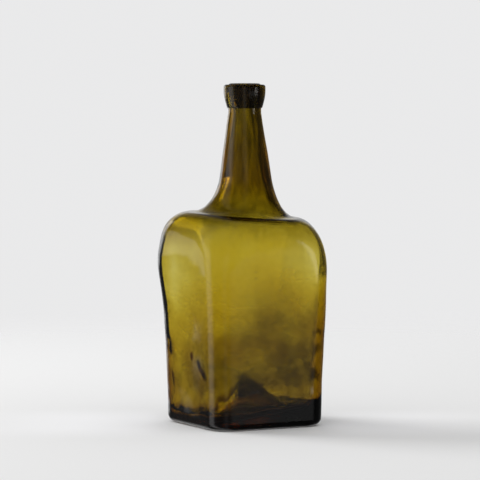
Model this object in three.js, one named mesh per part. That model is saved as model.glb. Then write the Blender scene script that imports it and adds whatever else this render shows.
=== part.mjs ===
// A hand-blown square bottle with a tall tapering neck, in millimetres, +Z up.
// The origin is the centre of the base, on the plane that the bottle stands on.
// The body's four flat sides face +X, -X, +Y and -Y.
import * as THREE from 'three';

const { clamp, degToRad, mapLinear, smoothstep } = THREE.MathUtils;

// Heights, one above the other
const bodyHeight = 147;
const shoulderRise = 29.5;
const neckLength = 113.5;

// Body, across its flat sides
const baseSide = 106.5;
const shoulderSide = 114.5;
const cornerRadius = 20;
const heelRadius = 6.5;
const faceHollow = 1.2;

// Shoulders: how wide their crest is, and how far below the crest the corners start to round
const crestRadius = 44;
const cornerBlendDepth = 49;
const cornerBlendPower = 2.3;

// The glass set unevenly: the shoulders and the sides under them are fuller towards one corner, the
// shoulders are higher there too, and the neck stands off centre, away from it, and leans back as it
// rises
const highSide = 147;
const shoulderLift = 2.8;
const shoulderBulge = 4;
const sideBulge = 3;
const sideBulgeFoot = 88;
const neckFootShift = 2;
const neckMouthShift = 0.8;

// Neck: straight inside the rim, then a cone that sweeps out into the shoulders
const neckTopRadius = 14;
const neckStraight = 25;
const neckTaper = 8.5;
const sweepHeight = 35;

// Glass thickness: thin on the blown-out shoulders, heavy in the neck and towards the heel
const mouthWall = 4.5;
const neckFootWall = 6.5;
const shoulderWall = 3.2;
const heelWall = 5;
const heavyBelow = 50;
const floorThickness = 9;
const kickWall = 7;

// Pushed-up base
const kickRadius = 32;
const kickHeight = 32;
const kickPower = 1.8;
const valleyWidth = 3;
const innerHeelHeight = 12;

// Laid-on rim round the mouth
const rimRadius = 17.8;
const rimHeight = 20;
const rimTaperHeight = 15;
const rimRound = 2.2;
const rimSetback = 1;
const rimFoot = 0.8;

// Scar of broken glass left at the top of the push-up
const scarRadius = 11;
const scarHole = 5.5;
const scarThickness = 2;
const scarRaggedness = 0.12;
const scarLobes = 3;
const scarTeeth = 5;

// Clearance between two pieces that are fused in the real bottle
const seam = 0.3;

// Facets
const cornerSteps = 8;
const flatSteps = 6;
const kickSteps = 6;
const heelSteps = 4;
const sideSteps = 7;
const shoulderSteps = 8;
const sweepSteps = 7;
const neckSteps = 3;
const lipSteps = 6;
const rimSegments = 56;
const rimRoundSteps = 4;
const scarSegments = 40;

// Places worked out from the sizes above
const crestHeight = bodyHeight + shoulderRise;
const bottleHeight = crestHeight + neckLength;
const neckStart = crestHeight + sweepHeight;
const straightStart = bottleHeight - neckStraight;
const lipRound = mouthWall / 2;
const footHalf = baseSide / 2 - heelRadius;
const innerFloorTop = floorThickness + innerHeelHeight;

// Whole-number steps as shares of 1, from the first one asked for
function shares(count, first = 1) {
  return Array.from({ length: count + 1 - first }, (_, i) => (i + first) / count);
}

// Outside radius of the neck at height z
function neckRadius(z) {
  return neckTopRadius + Math.max(straightStart - z, 0) * Math.tan(degToRad(neckTaper));
}

// Half of the body's width across its flats, swelling gently from the heel to the shoulders
function bodyHalf(z) {
  const swell = (1 - Math.cos(Math.PI * clamp(z / bodyHeight, 0, 1))) / 2;
  return (baseSide + (shoulderSide - baseSide) * swell) / 2;
}

// Corner radius as a share of the half width: fixed on the body, and 1, a circle, from the crest up
function cornerShare(z) {
  const bodyShare = cornerRadius / (shoulderSide / 2);
  const rise = clamp((z - crestHeight + cornerBlendDepth) / cornerBlendDepth, 0, 1);
  return bodyShare + (1 - bodyShare) * Math.pow(rise, cornerBlendPower);
}

// Thickness of the glass at height z
function wallAt(z) {
  if (z >= neckStart) {
    return mapLinear(Math.min(z, straightStart), neckStart, straightStart, neckFootWall, mouthWall);
  }
  if (z >= crestHeight) {
    return mapLinear(z, crestHeight, neckStart, shoulderWall, neckFootWall);
  }
  return mapLinear(smoothstep(z, heavyBelow, bodyHeight), 0, 1, heelWall, shoulderWall);
}

// Height of the pushed-up base's underside at a distance from the axis
function kickZ(radius) {
  return kickHeight * (1 - Math.pow(radius / kickRadius, kickPower));
}

// Angles round the axis at which every section is sampled, closer together on the corners
function sectionAngles() {
  const half = shoulderSide / 2;
  const centre = half - cornerRadius;
  const flatEnd = Math.atan2(centre, half);
  const angles = [];
  for (let quarter = 0; quarter < 4; quarter += 1) {
    const turn = (quarter * Math.PI) / 2;
    for (const share of shares(flatSteps - 1, 0)) {
      angles.push(turn + flatEnd * (2 * share * (1 - 1 / flatSteps) - 1));
    }
    for (const share of shares(cornerSteps - 1, 0)) {
      const bend = (Math.PI / 2) * share * (1 - 1 / cornerSteps);
      const x = centre + cornerRadius * Math.cos(bend);
      const y = centre + cornerRadius * Math.sin(bend);
      angles.push(turn + Math.atan2(y, x));
    }
  }
  return angles;
}

const angles = sectionAngles();

// Distance from the axis to a square with rounded corners, along one angle
function squareRadius(angle, half, corner) {
  const longer = Math.max(Math.abs(Math.cos(angle)), Math.abs(Math.sin(angle)));
  const shorter = Math.min(Math.abs(Math.cos(angle)), Math.abs(Math.sin(angle)));
  const centre = half - corner;
  if (half * shorter <= centre * longer) {
    return half / longer;
  }
  const miss = centre * (longer - shorter);
  return centre * (longer + shorter) + Math.sqrt(Math.max(corner * corner - miss * miss, 0));
}

// How far a flat side is sunk in at its middle, fading out at the corners, heel and shoulders
function sunkBy(angle, z) {
  const share = clamp((z - heelRadius) / (bodyHeight - heelRadius), 0, 1);
  return faceHollow * Math.sin(Math.PI * share) * Math.pow(Math.cos(2 * angle), 2);
}

// One ring of points: a square with rounded corners, or a circle where the corner share is 1
function ring(half, z, share = cornerShare(z)) {
  return angles.map((angle) => {
    const sunk = share < 1 ? sunkBy(angle, z) : 0;
    const radius = squareRadius(angle, half, half * share) - sunk;
    return new THREE.Vector3(radius * Math.cos(angle), radius * Math.sin(angle), z);
  });
}

// Moves a geometry's points as the soft glass set: the fuller, higher side and the neck's lean
function settle(geometry) {
  const position = geometry.getAttribute('position');
  const towards = new THREE.Vector2(Math.cos(degToRad(highSide)), Math.sin(degToRad(highSide)));
  for (let i = 0; i < position.count; i += 1) {
    const flat = new THREE.Vector2(position.getX(i), position.getY(i));
    const z = position.getZ(i);
    const share = flat.dot(towards) / (shoulderSide / 2);
    const fading = 1 - smoothstep(z, crestHeight, neckStart);
    const lifted = smoothstep(z, crestHeight - cornerBlendDepth, crestHeight) * fading;
    const onSides = sideBulge * smoothstep(z, sideBulgeFoot, bodyHeight);
    const onShoulders = shoulderBulge * smoothstep(z, bodyHeight, crestHeight);
    const bulge = (onSides + onShoulders) * fading * Math.pow(Math.max(share, 0), 2);
    flat.add(flat.clone().normalize().multiplyScalar(bulge));
    const footShift = neckFootShift * smoothstep(z, bodyHeight, crestHeight);
    const lean = (neckFootShift - neckMouthShift) * smoothstep(z, crestHeight, bottleHeight);
    flat.addScaledVector(towards, lean - footShift);
    position.setXYZ(i, flat.x, flat.y, z + shoulderLift * share * lifted);
  }
  return geometry;
}

// Outside of the glass from the heel to the mouth, as half width and height
function outerProfile() {
  const heel = shares(heelSteps).map((share) => {
    const bend = (Math.PI / 2) * share;
    const z = heelRadius * (1 - Math.cos(bend));
    return new THREE.Vector2(footHalf + heelRadius * Math.sin(bend), z);
  });
  const side = shares(sideSteps).map((share) => {
    const z = heelRadius + (bodyHeight - heelRadius) * share;
    return new THREE.Vector2(bodyHalf(z), z);
  });
  const crest = new THREE.Vector2(crestRadius, crestHeight);
  const shoulder = new THREE.QuadraticBezierCurve(
    new THREE.Vector2(shoulderSide / 2, bodyHeight),
    new THREE.Vector2(shoulderSide / 2, crestHeight),
    crest,
  );
  const coneFoot = neckRadius(neckStart) + sweepHeight * Math.tan(degToRad(neckTaper));
  const sweep = new THREE.QuadraticBezierCurve(
    crest,
    new THREE.Vector2(coneFoot, crestHeight),
    new THREE.Vector2(neckRadius(neckStart), neckStart),
  );
  const neck = shares(neckSteps).map((share) => {
    const z = neckStart + (straightStart - neckStart) * share;
    return new THREE.Vector2(neckRadius(z), z);
  });
  return [
    ...heel,
    ...side,
    ...shoulder.getPoints(shoulderSteps).slice(1),
    ...sweep.getPoints(sweepSteps).slice(1),
    ...neck,
    new THREE.Vector2(neckTopRadius, bottleHeight - lipRound),
  ];
}

// Rounded edge of the mouth, between the outside and the inside of the neck
function lipProfile() {
  const centre = neckTopRadius - lipRound;
  return shares(lipSteps - 1).map((share) => {
    const bend = Math.PI * share * (1 - 1 / lipSteps);
    const z = bottleHeight - lipRound + lipRound * Math.sin(bend);
    return new THREE.Vector2(centre + lipRound * Math.cos(bend), z);
  });
}

// Inside of the glass from the mouth down: the outside moved in by the thickness of the wall
function innerProfile(outer) {
  const inner = [];
  for (let i = outer.length - 1; i > 0; i -= 1) {
    const after = outer[Math.min(i + 1, outer.length - 1)];
    const run = after.clone().sub(outer[i - 1]).normalize();
    const wall = wallAt(outer[i].y);
    inner.push(new THREE.Vector2(outer[i].x - run.y * wall, outer[i].y + run.x * wall));
  }
  return inner.filter((point) => point.y > innerFloorTop);
}

// The blown bottle: push-up, foot, heel, sides, shoulders and neck, and the same inside
function bottleBody() {
  const kick = shares(kickSteps).map((share) => ring(kickRadius * share, kickZ(kickRadius * share), 1));
  const foot = ring(footHalf, 0);
  const outer = outerProfile();
  const outside = outer.map((point) => ring(point.x, point.y));
  const lip = lipProfile().map((point) => ring(point.x, point.y));
  const inside = innerProfile(outer).map((point) => ring(point.x, point.y));
  const domeRadius = kickRadius + valleyWidth / 2;
  const valleyHalf = domeRadius + valleyWidth;
  const innerHalf = bodyHalf(innerFloorTop) - wallAt(innerFloorTop);
  const innerHeel = shares(heelSteps, 0).map((share) => {
    const bend = (Math.PI / 2) * share;
    const half = valleyHalf + (innerHalf - valleyHalf) * Math.cos(bend);
    return ring(half, innerFloorTop - innerHeelHeight * Math.sin(bend));
  });
  const domeTop = kickHeight + kickWall;
  const dome = shares(kickSteps).reverse().map((share) => {
    const z = domeTop - (domeTop - floorThickness) * Math.pow(share, kickPower);
    return ring(domeRadius * share, z, 1);
  });
  const rings = [...kick, foot, ...outside, ...lip, ...inside, ...innerHeel, ...dome];
  return settle(skin(kickHeight, rings, domeTop));
}

// Closed mesh through rings of equal counts, from a point on the axis to another
function skin(startZ, rings, endZ) {
  const count = angles.length;
  const points = [new THREE.Vector3(0, 0, startZ), ...rings.flat(), new THREE.Vector3(0, 0, endZ)];
  const end = points.length - 1;
  const lastRing = end - count;
  const faces = [];
  for (let i = 0; i < count; i += 1) {
    const next = (i + 1) % count;
    faces.push(0, 1 + next, 1 + i);
    faces.push(...band(rings.length - 1, count, i, next, 1));
    faces.push(end, lastRing + i, lastRing + next);
  }
  return meshed(points, faces);
}

// Faces of one strip that runs across a number of rings, between point i of each ring and the next
function band(rows, count, i, next, firstPoint) {
  const faces = [];
  for (let row = 0; row < rows; row += 1) {
    const low = firstPoint + row * count;
    const high = low + count;
    faces.push(low + i, low + next, high + next);
    faces.push(low + i, high + next, high + i);
  }
  return faces;
}

function meshed(points, faces) {
  const geometry = new THREE.BufferGeometry().setFromPoints(points);
  geometry.setIndex(faces);
  return geometry;
}

// The rim: a band of glass laid round the mouth, rounded above and drawn in below
function stringRim() {
  const top = bottleHeight - rimSetback;
  const bottom = top - rimHeight;
  const bore = neckTopRadius + seam;
  const profile = [
    new THREE.Vector2(bore, bottom),
    new THREE.Vector2(bore + rimFoot, bottom),
    new THREE.Vector2(rimRadius, bottom + rimTaperHeight),
  ];
  for (const share of shares(rimRoundSteps, 0)) {
    const bend = (Math.PI / 2) * share;
    const radius = rimRadius - rimRound * (1 - Math.cos(bend));
    profile.push(new THREE.Vector2(radius, top - rimRound * (1 - Math.sin(bend))));
  }
  profile.push(new THREE.Vector2(bore, top));
  profile.push(profile[0].clone());
  const geometry = new THREE.LatheGeometry(profile, rimSegments);
  geometry.rotateX(Math.PI / 2);
  return settle(geometry);
}

// The scar: a ragged ring of broken glass close under the top of the push-up
function pontilScar() {
  const middle = (scarHole + scarRadius) / 2;
  const section = [
    { radius: scarHole, drop: 0 },
    { radius: scarHole, drop: scarThickness / 2 },
    { radius: middle, drop: scarThickness },
    { radius: scarRadius, drop: scarThickness / 2 },
    { radius: scarRadius, drop: 0 },
    { radius: middle, drop: 0 },
    { radius: scarHole, drop: 0 },
  ];
  const points = section.flatMap(({ radius, drop }) => shares(scarSegments).map((share) => {
    const angle = 2 * Math.PI * share;
    const wave = Math.sin(scarLobes * angle + 1) * Math.cos(scarTeeth * angle);
    const ragged = radius * (1 + scarRaggedness * wave);
    const z = kickZ(ragged) - seam - drop;
    return new THREE.Vector3(ragged * Math.cos(angle), ragged * Math.sin(angle), z);
  }));
  const faces = [];
  for (let i = 0; i < scarSegments; i += 1) {
    faces.push(...band(section.length - 1, scarSegments, i, (i + 1) % scarSegments, 0));
  }
  return meshed(points, faces);
}

function piece(name, geometry, material) {
  const mesh = new THREE.Mesh(geometry, material);
  mesh.name = name;
  return mesh;
}

// Dark olive glass; the laid-on rim is thicker and looks darker, and the scar is broken and dull
const bodyGlass = new THREE.MeshStandardMaterial({ color: 0x6b5a14, roughness: 0.08, metalness: 0 });
const rimGlass = new THREE.MeshStandardMaterial({ color: 0x2c2509, roughness: 0.12, metalness: 0 });
const scarGlass = new THREE.MeshStandardMaterial({ color: 0x4a3f12, roughness: 0.45, metalness: 0 });

const bottle = new THREE.Group();
bottle.add(piece('bottle_body', bottleBody(), bodyGlass));
bottle.add(piece('string_rim', stringRim(), rimGlass));
bottle.add(piece('pontil_scar', pontilScar(), scarGlass));

export default bottle;
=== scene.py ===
# A hand-blown square bottle of dark olive glass with a tall tapering neck, standing on a pale floor.
# Lengths are in metres. The bottle stands on z = 0, and its flat sides face +X, -X, +Y and -Y.
import math

import bpy
import numpy as np
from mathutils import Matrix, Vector, noise


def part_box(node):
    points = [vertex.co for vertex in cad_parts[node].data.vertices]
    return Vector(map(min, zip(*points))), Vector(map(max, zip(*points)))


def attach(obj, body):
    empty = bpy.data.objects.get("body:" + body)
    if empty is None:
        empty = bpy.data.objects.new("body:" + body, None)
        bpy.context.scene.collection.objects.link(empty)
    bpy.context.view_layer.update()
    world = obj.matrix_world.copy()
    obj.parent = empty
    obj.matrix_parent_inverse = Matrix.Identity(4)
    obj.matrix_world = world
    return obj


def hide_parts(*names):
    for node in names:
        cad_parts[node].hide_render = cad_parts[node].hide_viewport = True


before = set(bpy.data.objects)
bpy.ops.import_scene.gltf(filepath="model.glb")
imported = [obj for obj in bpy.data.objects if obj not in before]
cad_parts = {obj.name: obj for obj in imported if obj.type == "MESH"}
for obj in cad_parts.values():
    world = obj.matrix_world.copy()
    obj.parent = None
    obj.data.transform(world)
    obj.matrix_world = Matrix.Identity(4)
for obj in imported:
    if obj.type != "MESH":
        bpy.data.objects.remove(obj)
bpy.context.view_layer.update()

# Heights, one above the other, up to the mouth at the CAD model's top
BODY_HEIGHT = 0.147
SHOULDER_RISE = 0.0295
CREST_HEIGHT = BODY_HEIGHT + SHOULDER_RISE
BOTTLE_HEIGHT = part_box("bottle_body")[1].z
SWEEP_HEIGHT = 0.035
NECK_START = CREST_HEIGHT + SWEEP_HEIGHT
NECK_STRAIGHT = 0.025
STRAIGHT_START = BOTTLE_HEIGHT - NECK_STRAIGHT

# Body, across its flat sides
BASE_SIDE = 0.1065
SHOULDER_SIDE = 0.1145
CORNER_RADIUS = 0.020
HEEL_RADIUS = 0.0065
FACE_HOLLOW = 0.0012
CREST_RADIUS = 0.044
CORNER_BLEND_DEPTH = 0.049
CORNER_BLEND_POWER = 2.3

# How the glass set: fuller and higher towards one corner, with the neck standing away from it.
# The shoulders' crest rose a little all round, and more on the high side.
HIGH_SIDE = math.radians(147)
SHOULDER_RISEN = 0.0020
SHOULDER_LIFT = 0.0036
SHOULDER_BULGE = 0.004
SIDE_BULGE = 0.003
SIDE_BULGE_FOOT = 0.088
NECK_FOOT_SHIFT = 0.0014
NECK_MOUTH_SHIFT = 0.0003

# Neck: the radius of its straight top, and how steeply it widens below that
NECK_TOP_RADIUS = 0.014
NECK_TAPER = math.radians(8.5)

# Thickness of the glass
MOUTH_WALL = 0.0045
NECK_FOOT_WALL = 0.0065
SHOULDER_WALL = 0.0032
HEEL_WALL = 0.005
HEAVY_BELOW = 0.050
FLOOR_THICKNESS = 0.009

# Push-up, and the valley round it
KICK_WALL = 0.007
KICK_RADIUS = 0.032
KICK_HEIGHT = 0.032
KICK_POWER = 1.8
VALLEY_WIDTH = 0.003
INNER_HEEL_HEIGHT = 0.012
FOOT_HALF = BASE_SIDE / 2 - HEEL_RADIUS
INNER_FLOOR_TOP = FLOOR_THICKNESS + INNER_HEEL_HEIGHT

# How far the inner floor slants, up at the camera's right and down at its left, and the height at which
# the slant has died away
FLOOR_SLANT = 0.006
FLOOR_SLANT_TOP = 0.045

# Sides where the wall was blown thinner: direction, by how much, and the heights between which it sets in
THIN_SIDES = ((HIGH_SIDE, 0.0016, 0.015, 0.12), (math.radians(-20), 0.0015, 0.1, 0.14))

# Ripples: size along X, Y and Z, number of their noise, height, and in the body the height added near
# the floor
OUTER_RIPPLES = (((0.034, 0.034, 0.026), 1, 0.00034), ((0.011, 0.011, 0.008), 2, 0.00007))
BODY_RIPPLES = (((0.021, 0.021, 0.017), 3, 0.0003, 0.0011), ((0.009, 0.009, 0.008), 4, 0.0001, 0.0003))
NECK_RIPPLES = ((0.007, 0.007, 0.045), 5, 0.0011)

# Heights between which the ripples set in, grow calmer or die away
OUTER_RIPPLES_START = (0.001, 0.012)
OUTER_RIPPLES_END = (BOTTLE_HEIGHT - 0.034, BOTTLE_HEIGHT - 0.024)
BODY_RIPPLES_CALM = (0.055, 0.125)
NECK_RIPPLES_START = (NECK_START - 0.03, NECK_START)
NECK_RIPPLES_END = (BOTTLE_HEIGHT - 0.012, BOTTLE_HEIGHT - 0.004)

# How far apart in the noise two sets of ripples are
NOISE_STEP = (7.31, 3.77, 5.13)

# Laid-on rim
RIM_RADIUS = 0.0178
RIM_HEIGHT = 0.020
RIM_TAPER_HEIGHT = 0.015
RIM_ROUND = 0.0022
RIM_SETBACK = 0.001
RIM_FOOT = 0.0008
RIM_GAP = 0.0001

# Pontil scar. Two waves, of so many periods round the ring, make it ragged.
SCAR_RADIUS = 0.011
SCAR_HOLE = 0.0055
SCAR_THICKNESS = 0.002
SCAR_RAGGEDNESS = 0.12
SCAR_PERIODS = (3, 5)
SCAR_PHASE = 1
SCAR_GAP = 0.0003

# Seeds, the small bubbles in the glass: small ones are more common by the power given
SEED_COUNT = 150
SEED_RANDOM = 17
SEED_DEPTH = (0.0007, 0.0010)
SEED_RADIUS = (0.00022, 0.0006)
SEED_RADIUS_POWER = 3
SEED_STRETCH = (1.0, 2.6)
SEED_FLATNESS = 0.8
SEED_SIDES = 12
SEED_ROWS = 8

# Mesh density
FLAT_STEPS = 22
CORNER_STEPS = 20
HEEL_STEPS = 10
SIDE_STEPS = 70
SHOULDER_STEPS = 30
SWEEP_STEPS = 30
NECK_STEPS = 40
LIP_STEPS = 12
KICK_STEPS = 26
RIM_SEGMENTS = 160
RIM_TAPER_STEPS = 16
RIM_ROUND_STEPS = 10
RIM_BORE_STEPS = 8
SCAR_SEGMENTS = 120

# The glass: how it bends light, its colour where it is thick, and what it takes out of light per metre
GLASS_IOR = 1.52
GLASS_COLOUR = (0.825, 0.748, 0.005)
GLASS_DENSITY = 570

# Levels between which a noise is stretched, so that its marks are soft or clear
SOFT_MARKS = (0.3, 0.7)
CLEAR_MARKS = (0.35, 0.65)

# The bottle's surface: fine grain, and roughness from standing, with the heights between which that ends,
# from scuffs, with the levels of their noise, and where the inside is darkened
GRAIN_SIZE = (0.004, 0.004, 0.006)
GRAIN_DEPTH = 0.00004
FOOT_WEAR_END = (0.0005, 0.004)
FOOT_ROUGHNESS = 0.35
SCUFF_SIZE = (0.006, 0.006, 0.004)
SCUFF_LEVELS = (0.62, 0.75)
SCUFF_ROUGHNESS = 0.07
DARKENING_ROUGHNESS = 0.22

# Darkening low inside the body: its upper edge on the axis, how steeply that climbs towards the camera's
# right, by how much and over what distance it wavers, and half of its soft width
DARKENING_EDGE = 0.087
DARKENING_SLANT = 0.35
DARKENING_WAVER = 0.05
DARKENING_WAVER_SIZE = 0.03
DARKENING_SOFTNESS = 0.012

# The share of it that is there from the edge down, how far below the edge it reaches its full strength,
# and how patchy it is
DARKENING_NEAR_EDGE = 0.35
DARKENING_DEPTH = 0.070
DARKENING_PATCHY_SIZE = 0.011
DARKENING_PATCHY = (0.75, 1.25)

# Where it fades, at the camera's left and at the foot: from, to, and the share that stays
DARKENING_LEFT = (-0.065, -0.025, 0.25)
DARKENING_FOOT = (0.014, 0.045, 0.2)

# Darkening in the neck: strength, the heights between which it sets in, its streaks, and the heights
# below which it is weaker, with the share that stays
NECK_DARKENING = 0.96
NECK_DARKENING_START = (CREST_HEIGHT - 0.030, CREST_HEIGHT + 0.005)
NECK_STREAK_SIZE = (0.004, 0.004, 0.05)
NECK_STREAKS = (0.78, 1.12)
NECK_DARKENING_THIN = (0.2, 0.245, 0.8)

# Darker patches: place to the camera's right, towards the camera and up, reach, and how much is added.
# They keep their full strength over a share of the reach.
DARK_PATCHES = ((0.014, 0.045, 0.096, 0.042, 0.62), (-0.013, 0.032, 0.168, 0.030, 0.5))
PATCH_CORE = 0.2

# What the glass lets through where it is darkened most
DARKEST_TINT = (0.14, 0.133, 0.119, 1)

# The rim's surface: lines from tooling, and dirt that darkens it, with the levels of their noise
RIM_LINE_SIZE = (0.02, 0.02, 0.0012)
RIM_LINE_LEVELS = (0.4, 0.7)
RIM_LINE_DEPTH = 0.0002
RIM_ROUGHNESS = (0.02, 0.12)
RIM_DIRT_SIZE = (0.005, 0.005, 0.002)
RIM_DIRT_LEVELS = (0.45, 0.75)
RIM_TINTS = ((0.42, 0.4, 0.36, 1), (0.2, 0.19, 0.16, 1))

# The scar's broken surface
GRIT_SIZE = 0.0015
GRIT_DEPTH = 0.0006
GRIT_ROUGHNESS = (0.25, 0.6)
GRIT_TINTS = ((0.85, 0.84, 0.8, 1), (0.55, 0.52, 0.45, 1))

# The camera stands where the photograph's did
VIEW_AZIMUTH = math.radians(-27.5)
CAMERA_DISTANCE = 2.6
CAMERA_HEIGHT = 0.310
AIM_HEIGHT = 0.1567
AIM_LEFT = 0.0036
FOCAL_LENGTH = 229.4
SENSOR_WIDTH = 36.0
TO_CAMERA = Vector((math.sin(VIEW_AZIMUTH), -math.cos(VIEW_AZIMUTH), 0))
RIGHT = Vector((math.cos(VIEW_AZIMUTH), math.sin(VIEW_AZIMUTH), 0))
UP = Vector((0, 0, 1))

# The floor: half its side, its colour, its colour with painted light beside the bottle, standing in for light
# let through the glass, and between which distances that begins and ends to the sides and to the front and
# back, and the floor fades away
FLOOR_HALF = 6
FLOOR_COLOUR = (0.83, 0.83, 0.83, 1)
FLOOR_PAINTED_LIGHT = (0.92, 0.92, 0.93, 1)
LIT_START = (0.05, 0.09)
LIT_END = (0.25, 0.12)
LIT_END_DEEP = (0.12, 0.03)
FLOOR_FADE = (0.35, 1.2)

# Key lamp: side, power, how far round from the camera's left to behind the bottle, distance, height and
# the height that it is aimed at
LAMP_SIDE = 1.4
LAMP_POWER = 37
LAMP_TURN = math.radians(27)
LAMP_DISTANCE = 2.4
LAMP_HEIGHT = 1.55
LAMP_AIM = 0.1

# The studio: the camera's backdrop, the light from all round, and the level that counts as 1 in the
# ramps. The surroundings, as seen through the glass and as mirrored in it, are given by the angle in
# degrees from straight behind the bottle, positive to the camera's right, and then by height, as the
# sine of the height angle.
BACKDROP = (0.82, 0.82, 0.825)
WHITE = (1, 1, 1, 1)
AMBIENT = 0.76
BRIGHTEST = 1.6
BEHIND_GLASS = ((-180, 0.5), (-162, 0.1), (-120, 0.1), (-105, 0.9), (-85, 0.9), (-72, 0.1), (-38, 0.1),
                (-27, 1.15), (-19, 1.15), (-7, 0.86), (10, 0.85), (22, 0.15), (60, 0.06), (86, 0.06),
                (95, 0.7), (106, 0.7), (116, 0.1), (162, 0.1), (180, 0.5))
MIRRORED = ((-180, 0.25), (-162, 0.08), (-120, 0.1), (-105, 0.9), (-85, 0.9), (-72, 0.1), (-42, 0.08),
            (-26, 0.5), (-14, 0.7), (10, 0.6), (22, 0.1), (60, 0.04), (162, 0.04), (180, 0.25))
OVERHEAD = ((0.0, 1.0), (0.22, 1.0), (0.42, 0.3), (1.0, 0.12))

# Panels that are only mirrored: left and right edge in degrees, lower and upper edge as the sine of the
# height angle, level, and how wide the soft edges are, to the sides and up and down
PANELS = ((-48, -23, -0.12, 0.30, 1.6, 9, 0.05), (-74, -55, -0.10, 0.02, 0.7, 7, 0.03),
          (104, 121, -0.115, 0.15, 1.5, 6, 0.03), (100, 160, -0.30, -0.03, 0.25, 25, 0.05))


def shares(count, first=1):
    """Whole-number steps as shares of 1, from the first one asked for."""
    return np.arange(first, count + 1) / count


def smooth_step(x, low, high):
    """Eases from 0 at low to 1 at high."""
    t = np.clip((x - low) / (high - low), 0, 1)
    return t * t * (3 - 2 * t)


def heading(angle):
    return np.array((math.cos(angle), math.sin(angle)))


def turned(radius, angles, z):
    """Points at each angle round the axis, with one radius and height or with one for each angle."""
    heights = np.broadcast_to(z, angles.shape)
    return np.column_stack((radius * np.cos(angles), radius * np.sin(angles), heights))


def neck_radius(z):
    return NECK_TOP_RADIUS + max(STRAIGHT_START - z, 0) * math.tan(NECK_TAPER)


def body_half(z):
    """Half of the body's width across its flats, swelling gently from the heel to the shoulders."""
    swell = (1 - math.cos(math.pi * min(max(z / BODY_HEIGHT, 0), 1))) / 2
    return (BASE_SIDE + (SHOULDER_SIDE - BASE_SIDE) * swell) / 2


def corner_share(z):
    """Corner radius as a share of the half width: fixed on the body, 1 (a circle) from the crest up."""
    body_share = CORNER_RADIUS / (SHOULDER_SIDE / 2)
    rise = min(max((z - CREST_HEIGHT + CORNER_BLEND_DEPTH) / CORNER_BLEND_DEPTH, 0), 1)
    return body_share + (1 - body_share) * rise**CORNER_BLEND_POWER


def wall_at(z):
    """Thickness of the glass at a height."""
    if z >= NECK_START:
        share = min((z - NECK_START) / (STRAIGHT_START - NECK_START), 1)
        return NECK_FOOT_WALL + (MOUTH_WALL - NECK_FOOT_WALL) * share
    if z >= CREST_HEIGHT:
        return SHOULDER_WALL + (NECK_FOOT_WALL - SHOULDER_WALL) * (z - CREST_HEIGHT) / SWEEP_HEIGHT
    return HEEL_WALL + (SHOULDER_WALL - HEEL_WALL) * float(smooth_step(z, HEAVY_BELOW, BODY_HEIGHT))


def section_angles():
    """Angles round the axis at which each ring is sampled, closer together on the corners."""
    half = SHOULDER_SIDE / 2
    centre = half - CORNER_RADIUS
    flat_end = math.atan2(centre, half)
    angles = []
    for quarter in range(4):
        turn = quarter * math.pi / 2
        for step in range(FLAT_STEPS):
            angles.append(turn + flat_end * (2 * step / FLAT_STEPS - 1))
        for step in range(CORNER_STEPS):
            bend = math.pi / 2 * step / CORNER_STEPS
            x = centre + CORNER_RADIUS * math.cos(bend)
            y = centre + CORNER_RADIUS * math.sin(bend)
            angles.append(turn + math.atan2(y, x))
    return np.array(angles)


ANGLES = section_angles()


def ring(half, z, share=None):
    """One ring of points: a square with rounded corners and slightly sunken sides, or a circle."""
    share = corner_share(z) if share is None else share
    longer = np.maximum(abs(np.cos(ANGLES)), abs(np.sin(ANGLES)))
    shorter = np.minimum(abs(np.cos(ANGLES)), abs(np.sin(ANGLES)))
    corner = half * share
    centre = half - corner
    miss = centre * (longer - shorter)
    rounded = centre * (longer + shorter) + np.sqrt(np.maximum(corner**2 - miss**2, 0))
    radius = np.where(half * shorter <= centre * longer, half / longer, rounded)
    if share < 1:
        climb = min(max((z - HEEL_RADIUS) / (BODY_HEIGHT - HEEL_RADIUS), 0), 1)
        radius = radius - FACE_HOLLOW * math.sin(math.pi * climb) * np.cos(2 * ANGLES) ** 2
    return turned(radius, ANGLES, z)


def bezier(start, control, end, count):
    """Points of a quadratic curve after its start."""
    t = shares(count)[:, None]
    return (1 - t) ** 2 * np.array(start) + 2 * t * (1 - t) * np.array(control) + t**2 * np.array(end)


def outer_profile():
    """Outside of the glass from the heel to the mouth, as half width and height."""
    bend = math.pi / 2 * shares(HEEL_STEPS)
    heel = np.column_stack((FOOT_HALF + HEEL_RADIUS * np.sin(bend), HEEL_RADIUS * (1 - np.cos(bend))))
    side_heights = HEEL_RADIUS + (BODY_HEIGHT - HEEL_RADIUS) * shares(SIDE_STEPS)
    side = np.array([(body_half(z), z) for z in side_heights])
    crest = (CREST_RADIUS, CREST_HEIGHT)
    half = SHOULDER_SIDE / 2
    shoulder = bezier((half, BODY_HEIGHT), (half, CREST_HEIGHT), crest, SHOULDER_STEPS)
    foot = neck_radius(NECK_START)
    cone_foot = foot + SWEEP_HEIGHT * math.tan(NECK_TAPER)
    sweep = bezier(crest, (cone_foot, CREST_HEIGHT), (foot, NECK_START), SWEEP_STEPS)
    neck_heights = NECK_START + (BOTTLE_HEIGHT - MOUTH_WALL / 2 - NECK_START) * shares(NECK_STEPS)
    neck = np.array([(neck_radius(z), z) for z in neck_heights])
    return np.vstack((heel, side, shoulder, sweep, neck))


def lip_profile():
    """Rounded edge of the mouth, between the outside and the inside of the neck."""
    bend = math.pi * shares(LIP_STEPS)[:-1]
    round_radius = MOUTH_WALL / 2
    centre = NECK_TOP_RADIUS - round_radius
    heights = BOTTLE_HEIGHT - round_radius + round_radius * np.sin(bend)
    return np.column_stack((centre + round_radius * np.cos(bend), heights))


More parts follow.
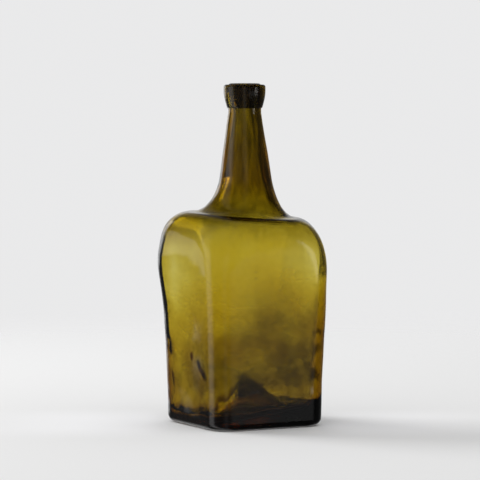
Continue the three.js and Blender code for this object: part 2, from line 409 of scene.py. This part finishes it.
def inner_profile(outer):
    """Inside of the glass from the mouth down: the outside moved in by the thickness of the wall."""
    before = np.vstack((outer[:1], outer[:-1]))
    after = np.vstack((outer[1:], outer[-1:]))
    run = after - before
    run /= np.linalg.norm(run, axis=1)[:, None]
    walls = np.array([wall_at(z) for z in outer[:, 1]])
    inner = outer + np.column_stack((-run[:, 1], run[:, 0])) * walls[:, None]
    return inner[inner[:, 1] > INNER_FLOOR_TOP][::-1]


def settle(points):
    """Moves points as the soft glass set: the fuller, higher side, and the neck off centre."""
    towards = heading(HIGH_SIDE)
    flat, z = points[:, :2].copy(), points[:, 2].copy()
    share = flat @ towards / (SHOULDER_SIDE / 2)
    fading = 1 - smooth_step(z, CREST_HEIGHT, NECK_START)
    lifted = smooth_step(z, CREST_HEIGHT - CORNER_BLEND_DEPTH, CREST_HEIGHT) * fading
    on_sides = SIDE_BULGE * smooth_step(z, SIDE_BULGE_FOOT, BODY_HEIGHT)
    on_shoulders = SHOULDER_BULGE * smooth_step(z, BODY_HEIGHT, CREST_HEIGHT)
    bulge = (on_sides + on_shoulders) * fading * np.maximum(share, 0) ** 2
    reach = np.maximum(np.linalg.norm(flat, axis=1), 1e-9)
    flat += flat / reach[:, None] * bulge[:, None]
    shift = NECK_FOOT_SHIFT * smooth_step(z, BODY_HEIGHT, CREST_HEIGHT)
    lean = (NECK_FOOT_SHIFT - NECK_MOUTH_SHIFT) * smooth_step(z, CREST_HEIGHT, BOTTLE_HEIGHT)
    flat += (lean - shift)[:, None] * towards
    return np.column_stack((flat, z + (SHOULDER_RISEN + SHOULDER_LIFT * share) * lifted))


def mesh_object(name, points, faces):
    mesh = bpy.data.meshes.new(name)
    mesh.from_pydata([tuple(p) for p in points], [], faces)
    mesh.validate()
    mesh.polygons.foreach_set("use_smooth", [True] * len(mesh.polygons))
    mesh.update()
    piece = bpy.data.objects.new(name, mesh)
    bpy.context.scene.collection.objects.link(piece)
    return piece


def bands(rows, count, first=0):
    """Quads of the strips that join each ring of points to the next."""
    faces = []
    for row in range(rows):
        low = first + row * count
        for i in range(count):
            j = (i + 1) % count
            faces.append((low + i, low + j, low + count + j, low + count + i))
    return faces


def kick_z(radius):
    return KICK_HEIGHT * (1 - (radius / KICK_RADIUS) ** KICK_POWER)


def waves(points, size, number):
    """Smooth noise from -1 to 1 at each point, with features of about the size given along X, Y and Z."""
    offset = Vector([step * number for step in NOISE_STEP])
    return np.array([noise.noise(Vector(place) + offset) for place in points * (1 / np.array(size))])


def vertex_table(mesh, name):
    values = np.zeros(len(mesh.vertices) * 3, np.float32)
    mesh.vertices.foreach_get(name, values)
    return values.reshape(-1, 3).astype(float)


def outer_ripple(points):
    """Height of the ripples on the outside: gentle, fading out at the foot and under the rim."""
    z = points[:, 2]
    free = smooth_step(z, *OUTER_RIPPLES_START) * (1 - smooth_step(z, *OUTER_RIPPLES_END))
    return sum(waves(points, size, number) * height for size, number, height in OUTER_RIPPLES) * free


def thinning(points):
    """How much thinner the wall is where the glass was blown out further."""
    z = points[:, 2]
    below_crest = 1 - smooth_step(z, BODY_HEIGHT, CREST_HEIGHT)
    total = np.zeros(len(points))
    for side, most, foot, full in THIN_SIDES:
        share = np.clip(points[:, :2] @ heading(side) / (SHOULDER_SIDE / 2), 0, 1)
        total += most * share**2 * smooth_step(z, foot, full) * below_crest
    return total


def inner_ripple(points):
    """Height of the unevenness inside: strong low in the body, drawn out along the neck."""
    z = points[:, 2]
    low = 1 - smooth_step(z, *BODY_RIPPLES_CALM)
    high = smooth_step(z, *NECK_RIPPLES_START)
    below_mouth = 1 - smooth_step(z, *NECK_RIPPLES_END)
    body = sum(waves(points, size, number) * (height + more * low)
               for size, number, height, more in BODY_RIPPLES)
    size, number, height = NECK_RIPPLES
    neck = waves(points, size, number) * height
    return body * (1 - high) + neck * high * below_mouth - thinning(points)


def seeds(places, normals):
    """Small closed bubbles a little way in from outer points, drawn out upwards. Returns points and faces."""
    rng = np.random.default_rng(SEED_RANDOM)
    around = 2 * math.pi * shares(SEED_SIDES)
    heights = -np.cos(math.pi * shares(SEED_ROWS)[:-1])
    widths = np.sqrt(1 - heights**2)
    ball = [(0, 0, -1)]
    ball += [(w * math.cos(a), w * math.sin(a), h) for w, h in zip(widths, heights) for a in around]
    ball = np.array(ball + [(0, 0, 1)])
    last = len(ball) - 1
    skin = [tuple(reversed(face)) for face in bands(SEED_ROWS - 2, SEED_SIDES, 1)]
    for i in range(SEED_SIDES):
        j = (i + 1) % SEED_SIDES
        skin += [(0, 1 + i, 1 + j), (last, last - SEED_SIDES + j, last - SEED_SIDES + i)]
    points, faces = [], []
    for root in rng.choice(len(places), SEED_COUNT, replace=False):
        radius = SEED_RADIUS[0] + (SEED_RADIUS[1] - SEED_RADIUS[0]) * rng.random() ** SEED_RADIUS_POWER
        stretch = rng.uniform(*SEED_STRETCH)
        across = np.cross(normals[root], (0, 0, 1))
        across /= np.linalg.norm(across)
        upward = np.cross(across, normals[root])
        turn = np.array((across, normals[root], upward))
        centre = places[root] - normals[root] * rng.uniform(*SEED_DEPTH)
        faces += [tuple(len(points) + corner for corner in face) for face in skin]
        points += list(centre + (ball * radius * np.array((1, SEED_FLATNESS, stretch))) @ turn)
    return np.array(points), faces


def bottle_glass():
    """The blown bottle: one closed skin round the glass, from under the push-up to inside it."""
    kick = [ring(KICK_RADIUS * s, kick_z(KICK_RADIUS * s), 1) for s in shares(KICK_STEPS)]
    foot = [ring(FOOT_HALF, 0)]
    outer = outer_profile()
    outer_wall = [ring(half, z) for half, z in outer]
    lip = [ring(half, z) for half, z in lip_profile()]
    inner_wall = [ring(half, z) for half, z in inner_profile(outer)]
    dome_radius = KICK_RADIUS + VALLEY_WIDTH / 2
    valley_half = dome_radius + VALLEY_WIDTH
    inner_half = body_half(INNER_FLOOR_TOP) - wall_at(INNER_FLOOR_TOP)
    inner_heel = []
    for bend in math.pi / 2 * shares(HEEL_STEPS, 0):
        half = valley_half + (inner_half - valley_half) * math.cos(bend)
        inner_heel.append(ring(half, INNER_FLOOR_TOP - INNER_HEEL_HEIGHT * math.sin(bend)))
    dome_top = KICK_HEIGHT + KICK_WALL
    dome = []
    for share in shares(KICK_STEPS)[::-1]:
        z = dome_top - (dome_top - FLOOR_THICKNESS) * share**KICK_POWER
        dome.append(ring(dome_radius * share, z, 1))
    rings = kick + foot + outer_wall + lip + inner_wall + inner_heel + dome
    count = len(ANGLES)
    points = np.vstack([[[0, 0, KICK_HEIGHT]]] + rings + [[[0, 0, dome_top]]])
    end = len(points) - 1
    faces = [(0, 1 + (i + 1) % count, 1 + i) for i in range(count)]
    faces += bands(len(rings) - 1, count, 1)
    faces += [(end, end - count + i, end - count + (i + 1) % count) for i in range(count)]
    draft = mesh_object("draft", settle(points), faces)
    first_outside = 1 + count * len(kick + foot)
    first_inside = 1 + count * len(kick + foot + outer_wall + lip)
    outside, inside = slice(first_outside, first_inside), slice(first_inside, None)
    points, normals = vertex_table(draft.data, "co"), vertex_table(draft.data, "normal")
    bpy.data.objects.remove(draft)
    distance = np.zeros(len(points))
    distance[inside] = inner_ripple(points[inside])
    distance[outside] = outer_ripple(points[outside])
    points += normals * distance[:, None]
    near_floor = 1 - smooth_step(points[inside, 2], FLOOR_THICKNESS, FLOOR_SLANT_TOP)
    aside = np.clip(points[inside] @ np.array(RIGHT) / FOOT_HALF, -1, 1)
    points[inside, 2] += FLOOR_SLANT * aside * near_floor
    seed_points, seed_faces = seeds(points[outside], normals[outside])
    faces += [tuple(len(points) + corner for corner in face) for face in seed_faces]
    piece = mesh_object("bottle_glass", np.vstack((points, seed_points)), faces)
    marks = np.zeros(len(piece.data.vertices), np.float32)
    marks[first_inside:len(points)] = 1
    piece.data.attributes.new("inside", "FLOAT", "POINT").data.foreach_set("value", marks)
    return piece


def rim_glass():
    """The band of glass laid round the mouth, rounded above and drawn in below."""
    top = BOTTLE_HEIGHT - RIM_SETBACK
    bottom = top - RIM_HEIGHT
    bore = NECK_TOP_RADIUS + RIM_GAP
    profile = [(bore, bottom), (bore + RIM_FOOT, bottom)]
    profile += [(bore + RIM_FOOT + (RIM_RADIUS - bore - RIM_FOOT) * math.sin(s * math.pi / 2),
                 bottom + RIM_TAPER_HEIGHT * s) for s in shares(RIM_TAPER_STEPS)]
    for bend in math.pi / 2 * shares(RIM_ROUND_STEPS, 0):
        radius = RIM_RADIUS - RIM_ROUND * (1 - math.cos(bend))
        profile.append((radius, top - RIM_ROUND * (1 - math.sin(bend))))
    profile += [(bore, top - RIM_HEIGHT * s) for s in shares(RIM_BORE_STEPS, 0)]
    angles = 2 * math.pi * shares(RIM_SEGMENTS)
    points = settle(np.vstack([turned(radius, angles, z) for radius, z in profile]))
    return mesh_object("rim_glass", points, bands(len(profile) - 1, RIM_SEGMENTS))


def scar_glass():
    """The ragged ring of broken glass close under the top of the push-up."""
    middle = (SCAR_HOLE + SCAR_RADIUS) / 2
    section = [(SCAR_HOLE, 0), (SCAR_HOLE, 0.5), (middle, 1), (SCAR_RADIUS, 0.5), (SCAR_RADIUS, 0),
               (middle, 0), (SCAR_HOLE, 0)]
    angles = 2 * math.pi * shares(SCAR_SEGMENTS)
    wave = np.sin(SCAR_PERIODS[0] * angles + SCAR_PHASE) * np.cos(SCAR_PERIODS[1] * angles)
    rings = []
    for radius, drop in section:
        ragged = radius * (1 + SCAR_RAGGEDNESS * wave)
        z = np.array([kick_z(r) for r in ragged]) - SCAR_GAP - drop * SCAR_THICKNESS
        rings.append(turned(ragged, angles, z))
    return mesh_object("scar_glass", np.vstack(rings), bands(len(rings) - 1, SCAR_SEGMENTS))


class Shading:
    """Short ways to add nodes to one material's or world's tree."""

    def __init__(self, tree):
        self.nodes = tree.nodes
        self.links = tree.links

    def fill(self, socket, value):
        """Gives a socket a number or vector, or links another node's output to it."""
        if isinstance(value, bpy.types.NodeSocket):
            self.links.new(value, socket)
        else:
            socket.default_value = value

    def place(self):
        """Where a point is on the object."""
        return self.nodes.new("ShaderNodeTexCoord").outputs["Object"]

    def math(self, operation, *inputs):
        node = self.nodes.new("ShaderNodeMath")
        node.operation = operation
        for socket, value in zip(node.inputs, inputs):
            self.fill(socket, value)
        return node.outputs["Value"]

    def product(self, result, *others):
        for other in others:
            result = self.math("MULTIPLY", result, other)
        return result

    def vector_math(self, operation, *inputs):
        node = self.nodes.new("ShaderNodeVectorMath")
        node.operation = operation
        for socket, value in zip(node.inputs, inputs):
            self.fill(socket, value)
        return node.outputs

    def along(self, vector, direction):
        """How far a vector output reaches along a direction."""
        return self.vector_math("DOT_PRODUCT", vector, direction)["Value"]

    def distance(self, vector, point):
        return self.vector_math("DISTANCE", vector, point)["Value"]

    def ramp(self, value, stops):
        """A grey ramp through (place, level) stops, each place a share from 0 to 1."""
        node = self.nodes.new("ShaderNodeValToRGB")
        node.color_ramp.interpolation = "EASE"
        elements = node.color_ramp.elements
        while len(elements) < len(stops):
            elements.new(0.5)
        for element, (place, level) in zip(elements, stops):
            element.position = place
            element.color = (level, level, level, 1)
        self.fill(node.inputs["Fac"], value)
        return node.outputs["Color"]

    def ease(self, value, start, end, low=0.0, high=1.0):
        """Goes smoothly from low at start to high at end."""
        node = self.nodes.new("ShaderNodeMapRange")
        node.interpolation_type = "SMOOTHSTEP"
        for name, number in (("Value", value), ("From Min", start), ("From Max", end),
                             ("To Min", low), ("To Max", high)):
            self.fill(node.inputs[name], number)
        return node.outputs["Result"]

    def noise(self, place, size, detail=2.0):
        """Noise from about 0 to 1 with features of about the size given, or the sizes along X, Y and Z."""
        sizes = size if isinstance(size, tuple) else (size, size, size)
        node = self.nodes.new("ShaderNodeTexNoise")
        node.inputs["Scale"].default_value = 1
        node.inputs["Detail"].default_value = detail
        self.fill(node.inputs["Vector"], self.vector_math("DIVIDE", place, sizes)["Vector"])
        return node.outputs["Fac"]

    def blend(self, share, first, second):
        """Colour between two others."""
        node = self.nodes.new("ShaderNodeMix")
        node.data_type = "RGBA"
        colours = [socket for socket in node.inputs if socket.type == "RGBA"]
        for socket, value in zip([node.inputs["Factor"]] + colours, (share, first, second)):
            self.fill(socket, value)
        return next(socket for socket in node.outputs if socket.type == "RGBA")

    def bump(self, height, distance):
        node = self.nodes.new("ShaderNodeBump")
        node.inputs["Strength"].default_value = 1
        node.inputs["Distance"].default_value = distance
        self.fill(node.inputs["Height"], height)
        return node.outputs["Normal"]

    def white_light(self, strength):
        node = self.nodes.new("ShaderNodeBackground")
        node.inputs["Color"].default_value = WHITE
        self.fill(node.inputs["Strength"], strength)
        return node.outputs["Background"]

    def mix_shaders(self, share, first, second):
        node = self.nodes.new("ShaderNodeMixShader")
        for socket, value in zip(node.inputs, (share, first, second)):
            self.fill(socket, value)
        return node.outputs["Shader"]


def glass_material(name):
    """Clear glass with the bottle's colour in its depth. Returns it, its surface's inputs and its shading."""
    material = bpy.data.materials.new(name)
    material.use_nodes = True
    shading = Shading(material.node_tree)
    surface = shading.nodes["Principled BSDF"].inputs
    surface["IOR"].default_value = GLASS_IOR
    surface["Transmission Weight"].default_value = 1
    volume = shading.nodes.new("ShaderNodeVolumeAbsorption")
    volume.inputs["Color"].default_value = (*GLASS_COLOUR, 1)
    volume.inputs["Density"].default_value = GLASS_DENSITY
    shading.fill(shading.nodes["Material Output"].inputs["Volume"], volume.outputs["Volume"])
    return material, surface, shading


def inner_darkening(shading, place, inside):
    """How strongly the glass is darkened, from 0 to 1: on the inside only, low in the body and in the neck.
    """
    height = shading.along(place, UP)
    aside = shading.along(place, RIGHT)
    climb = shading.math("MULTIPLY_ADD", aside, DARKENING_SLANT, DARKENING_EDGE - DARKENING_WAVER / 2)
    edge = shading.math("MULTIPLY_ADD", shading.noise(place, DARKENING_WAVER_SIZE), DARKENING_WAVER, climb)
    below = shading.math("SUBTRACT", edge, height)
    darkening = shading.ease(below, -DARKENING_SOFTNESS, DARKENING_SOFTNESS, 0.0, DARKENING_NEAR_EDGE)
    deepening = shading.ease(below, 0.0, DARKENING_DEPTH, 0.0, 1 - DARKENING_NEAR_EDGE)
    patchy = shading.ease(shading.noise(place, DARKENING_PATCHY_SIZE), *SOFT_MARKS, *DARKENING_PATCHY)
    low = shading.product(shading.math("ADD", darkening, deepening), patchy,
                          shading.ease(aside, *DARKENING_LEFT), shading.ease(height, *DARKENING_FOOT))
    streaks = shading.ease(shading.noise(place, NECK_STREAK_SIZE), *CLEAR_MARKS, *NECK_STREAKS)
    neck = shading.product(shading.ease(height, *NECK_DARKENING_START, 0.0, NECK_DARKENING), streaks,
                           shading.ease(height, *NECK_DARKENING_THIN))
    total = shading.math("MAXIMUM", low, neck)
    for right, forward, up, reach, more in DARK_PATCHES:
        centre = RIGHT * right + TO_CAMERA * forward + UP * up
        patch = shading.ease(shading.distance(place, centre), reach, PATCH_CORE * reach, 0.0, more)
        total = shading.math("ADD", total, patch)
    return shading.math("MINIMUM", shading.product(total, inside), 1.0)


def olive_glass():
    material, surface, shading = glass_material("olive_glass")
    place = shading.place()
    attribute = shading.nodes.new("ShaderNodeAttribute")
    attribute.attribute_name = "inside"
    darkening = inner_darkening(shading, place, attribute.outputs["Fac"])
    foot_wear = shading.ease(shading.along(place, UP), *FOOT_WEAR_END, FOOT_ROUGHNESS, 0.0)
    scuffs = shading.ease(shading.noise(place, SCUFF_SIZE, detail=6), *SCUFF_LEVELS, 0.0, SCUFF_ROUGHNESS)
    worn = shading.math("MAXIMUM", foot_wear, scuffs)
    rough = shading.math("MAXIMUM", worn, shading.product(darkening, DARKENING_ROUGHNESS))
    grain = shading.noise(place, GRAIN_SIZE, detail=3)
    # The inner surfaces' base colour darkens the light let through, low in the body, in the neck and in
    # patches
    shading.fill(surface["Base Color"], shading.blend(darkening, WHITE, DARKEST_TINT))
    shading.fill(surface["Roughness"], rough)
    shading.fill(surface["Normal"], shading.bump(grain, GRAIN_DEPTH))
    return material


def rim_material():
    material, surface, shading = glass_material("rim_glass")
    place = shading.place()
    lines = shading.noise(place, RIM_LINE_SIZE, detail=3)
    dirt = shading.ease(shading.noise(place, RIM_DIRT_SIZE, detail=4), *RIM_DIRT_LEVELS)
    shading.fill(surface["Base Color"], shading.blend(dirt, *RIM_TINTS))
    shading.fill(surface["Roughness"], shading.ease(lines, *RIM_LINE_LEVELS, *RIM_ROUGHNESS))
    shading.fill(surface["Normal"], shading.bump(lines, RIM_LINE_DEPTH))
    return material


def scar_material():
    material, surface, shading = glass_material("scar_glass")
    grit = shading.noise(shading.place(), GRIT_SIZE, detail=5)
    shading.fill(surface["Base Color"], shading.blend(grit, *GRIT_TINTS))
    shading.fill(surface["Roughness"], shading.ease(grit, *CLEAR_MARKS, *GRIT_ROUGHNESS))
    shading.fill(surface["Normal"], shading.bump(grit, GRIT_DEPTH))
    return material


def floor_plane():
    """Pale floor with painted light on both sides of the bottle, that fades into the backdrop."""
    corners = [(x * FLOOR_HALF, y * FLOOR_HALF, 0) for x, y in ((-1, -1), (1, -1), (1, 1), (-1, 1))]
    mesh = bpy.data.meshes.new("floor")
    mesh.from_pydata(corners, [], [(0, 1, 2, 3)])
    floor = bpy.data.objects.new("floor", mesh)
    bpy.context.scene.collection.objects.link(floor)
    material = bpy.data.materials.new("floor_paper")
    material.use_nodes = True
    shading = Shading(material.node_tree)
    shading.nodes.remove(shading.nodes["Principled BSDF"])
    place = shading.place()
    sideways = shading.math("ABSOLUTE", shading.along(place, RIGHT))
    forwards = shading.math("ABSOLUTE", shading.along(place, TO_CAMERA))
    # Painted light on the floor at both sides of the bottle, for the light the glass would let through
    painted_light = shading.product(shading.ease(sideways, *LIT_START), shading.ease(sideways, *LIT_END),
                          shading.ease(forwards, *LIT_END_DEEP))
    diffuse = shading.nodes.new("ShaderNodeBsdfDiffuse")
    shading.fill(diffuse.inputs["Color"], shading.blend(painted_light, FLOOR_COLOUR, FLOOR_PAINTED_LIGHT))
    clear = shading.nodes.new("ShaderNodeBsdfTransparent")
    fade = shading.ease(shading.distance(place, (0, 0, 0)), *FLOOR_FADE)
    mixed = shading.mix_shaders(fade, diffuse.outputs["BSDF"], clear.outputs["BSDF"])
    shading.fill(shading.nodes["Material Output"].inputs["Surface"], mixed)
    mesh.materials.append(material)
    floor.visible_glossy = False


def add_panels(shading, turn, up, level):
    """Adds the soft-edged panels to the mirrored level."""
    for left, right, bottom, top, panel_level, soft_turn, soft_up in PANELS:
        panel = panel_level / BRIGHTEST
        for value, edge, soft in ((turn, math.radians(left), math.radians(soft_turn)),
                                  (turn, math.radians(right), -math.radians(soft_turn)),
                                  (up, bottom, soft_up), (up, top, -soft_up)):
            panel = shading.product(shading.ease(value, edge - soft / 2, edge + soft / 2), panel)
        level = shading.math("MAXIMUM", level, panel)
    return level


def studio_world():
    """Pale grey for the camera. In the glass, a bright sweep behind, bright panels and dark between them."""
    world = bpy.data.worlds.new("studio")
    bpy.context.scene.world = world
    world.use_nodes = True
    shading = Shading(world.node_tree)
    backdrop = shading.nodes["Background"]
    backdrop.inputs["Color"].default_value = (*BACKDROP, 1)
    direction = shading.nodes.new("ShaderNodeTexCoord").outputs["Generated"]
    up = shading.along(direction, UP)
    turn = shading.math("ARCTAN2", shading.along(direction, RIGHT), shading.along(direction, -TO_CAMERA))
    place = shading.math("MULTIPLY_ADD", turn, 0.5 / math.pi, 0.5)
    behind, mirrored = (
        shading.ramp(place, [(0.5 + angle / 360, level / BRIGHTEST) for angle, level in levels])
        for levels in (BEHIND_GLASS, MIRRORED))
    mirrored = add_panels(shading, turn, up, mirrored)
    rays = shading.nodes.new("ShaderNodeLightPath").outputs
    round_about = shading.blend(rays["Is Transmission Ray"], mirrored, behind)
    seen = shading.product(round_about, shading.ramp(up, OVERHEAD), BRIGHTEST)
    in_glass = shading.math("MAXIMUM", rays["Is Glossy Ray"], rays["Is Transmission Ray"])
    light = shading.mix_shaders(in_glass, shading.white_light(AMBIENT), shading.white_light(seen))
    light = shading.mix_shaders(rays["Is Camera Ray"], light, backdrop.outputs["Background"])
    shading.fill(shading.nodes["World Output"].inputs["Surface"], light)


def aim(piece, target):
    """Turns a lamp or camera towards a point."""
    piece.rotation_euler = (target - piece.location).to_track_quat("-Z", "Y").to_euler()


def key_lamp():
    """Large soft lamp on the camera's left, a little behind the bottle. It isn't mirrored."""
    data = bpy.data.lights.new("key", "AREA")
    data.shape = "RECTANGLE"
    data.size = LAMP_SIDE
    data.size_y = LAMP_SIDE
    data.energy = LAMP_POWER
    lamp = bpy.data.objects.new("key", data)
    bpy.context.scene.collection.objects.link(lamp)
    lamp.visible_glossy = False
    way = -RIGHT * math.cos(LAMP_TURN) - TO_CAMERA * math.sin(LAMP_TURN)
    lamp.location = way * LAMP_DISTANCE + UP * LAMP_HEIGHT
    aim(lamp, UP * LAMP_AIM)


def camera():
    data = bpy.data.cameras.new("camera")
    data.sensor_width = SENSOR_WIDTH
    data.lens = FOCAL_LENGTH
    cam = bpy.data.objects.new("camera", data)
    bpy.context.scene.collection.objects.link(cam)
    cam.location = TO_CAMERA * CAMERA_DISTANCE + UP * CAMERA_HEIGHT
    aim(cam, UP * AIM_HEIGHT - RIGHT * AIM_LEFT)
    bpy.context.scene.camera = cam


bpy.context.scene.view_settings.view_transform = "Standard"
camera()
studio_world()
key_lamp()
floor_plane()

for piece, material, node, slot in ((bottle_glass(), olive_glass(), "bottle_body", "olive_glass"),
                                    (rim_glass(), rim_material(), "string_rim", "rim_glass"),
                                    (scar_glass(), scar_material(), "pontil_scar", "scar_glass")):
    piece.data.materials.append(material)
    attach(piece, "root")
    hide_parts(node)
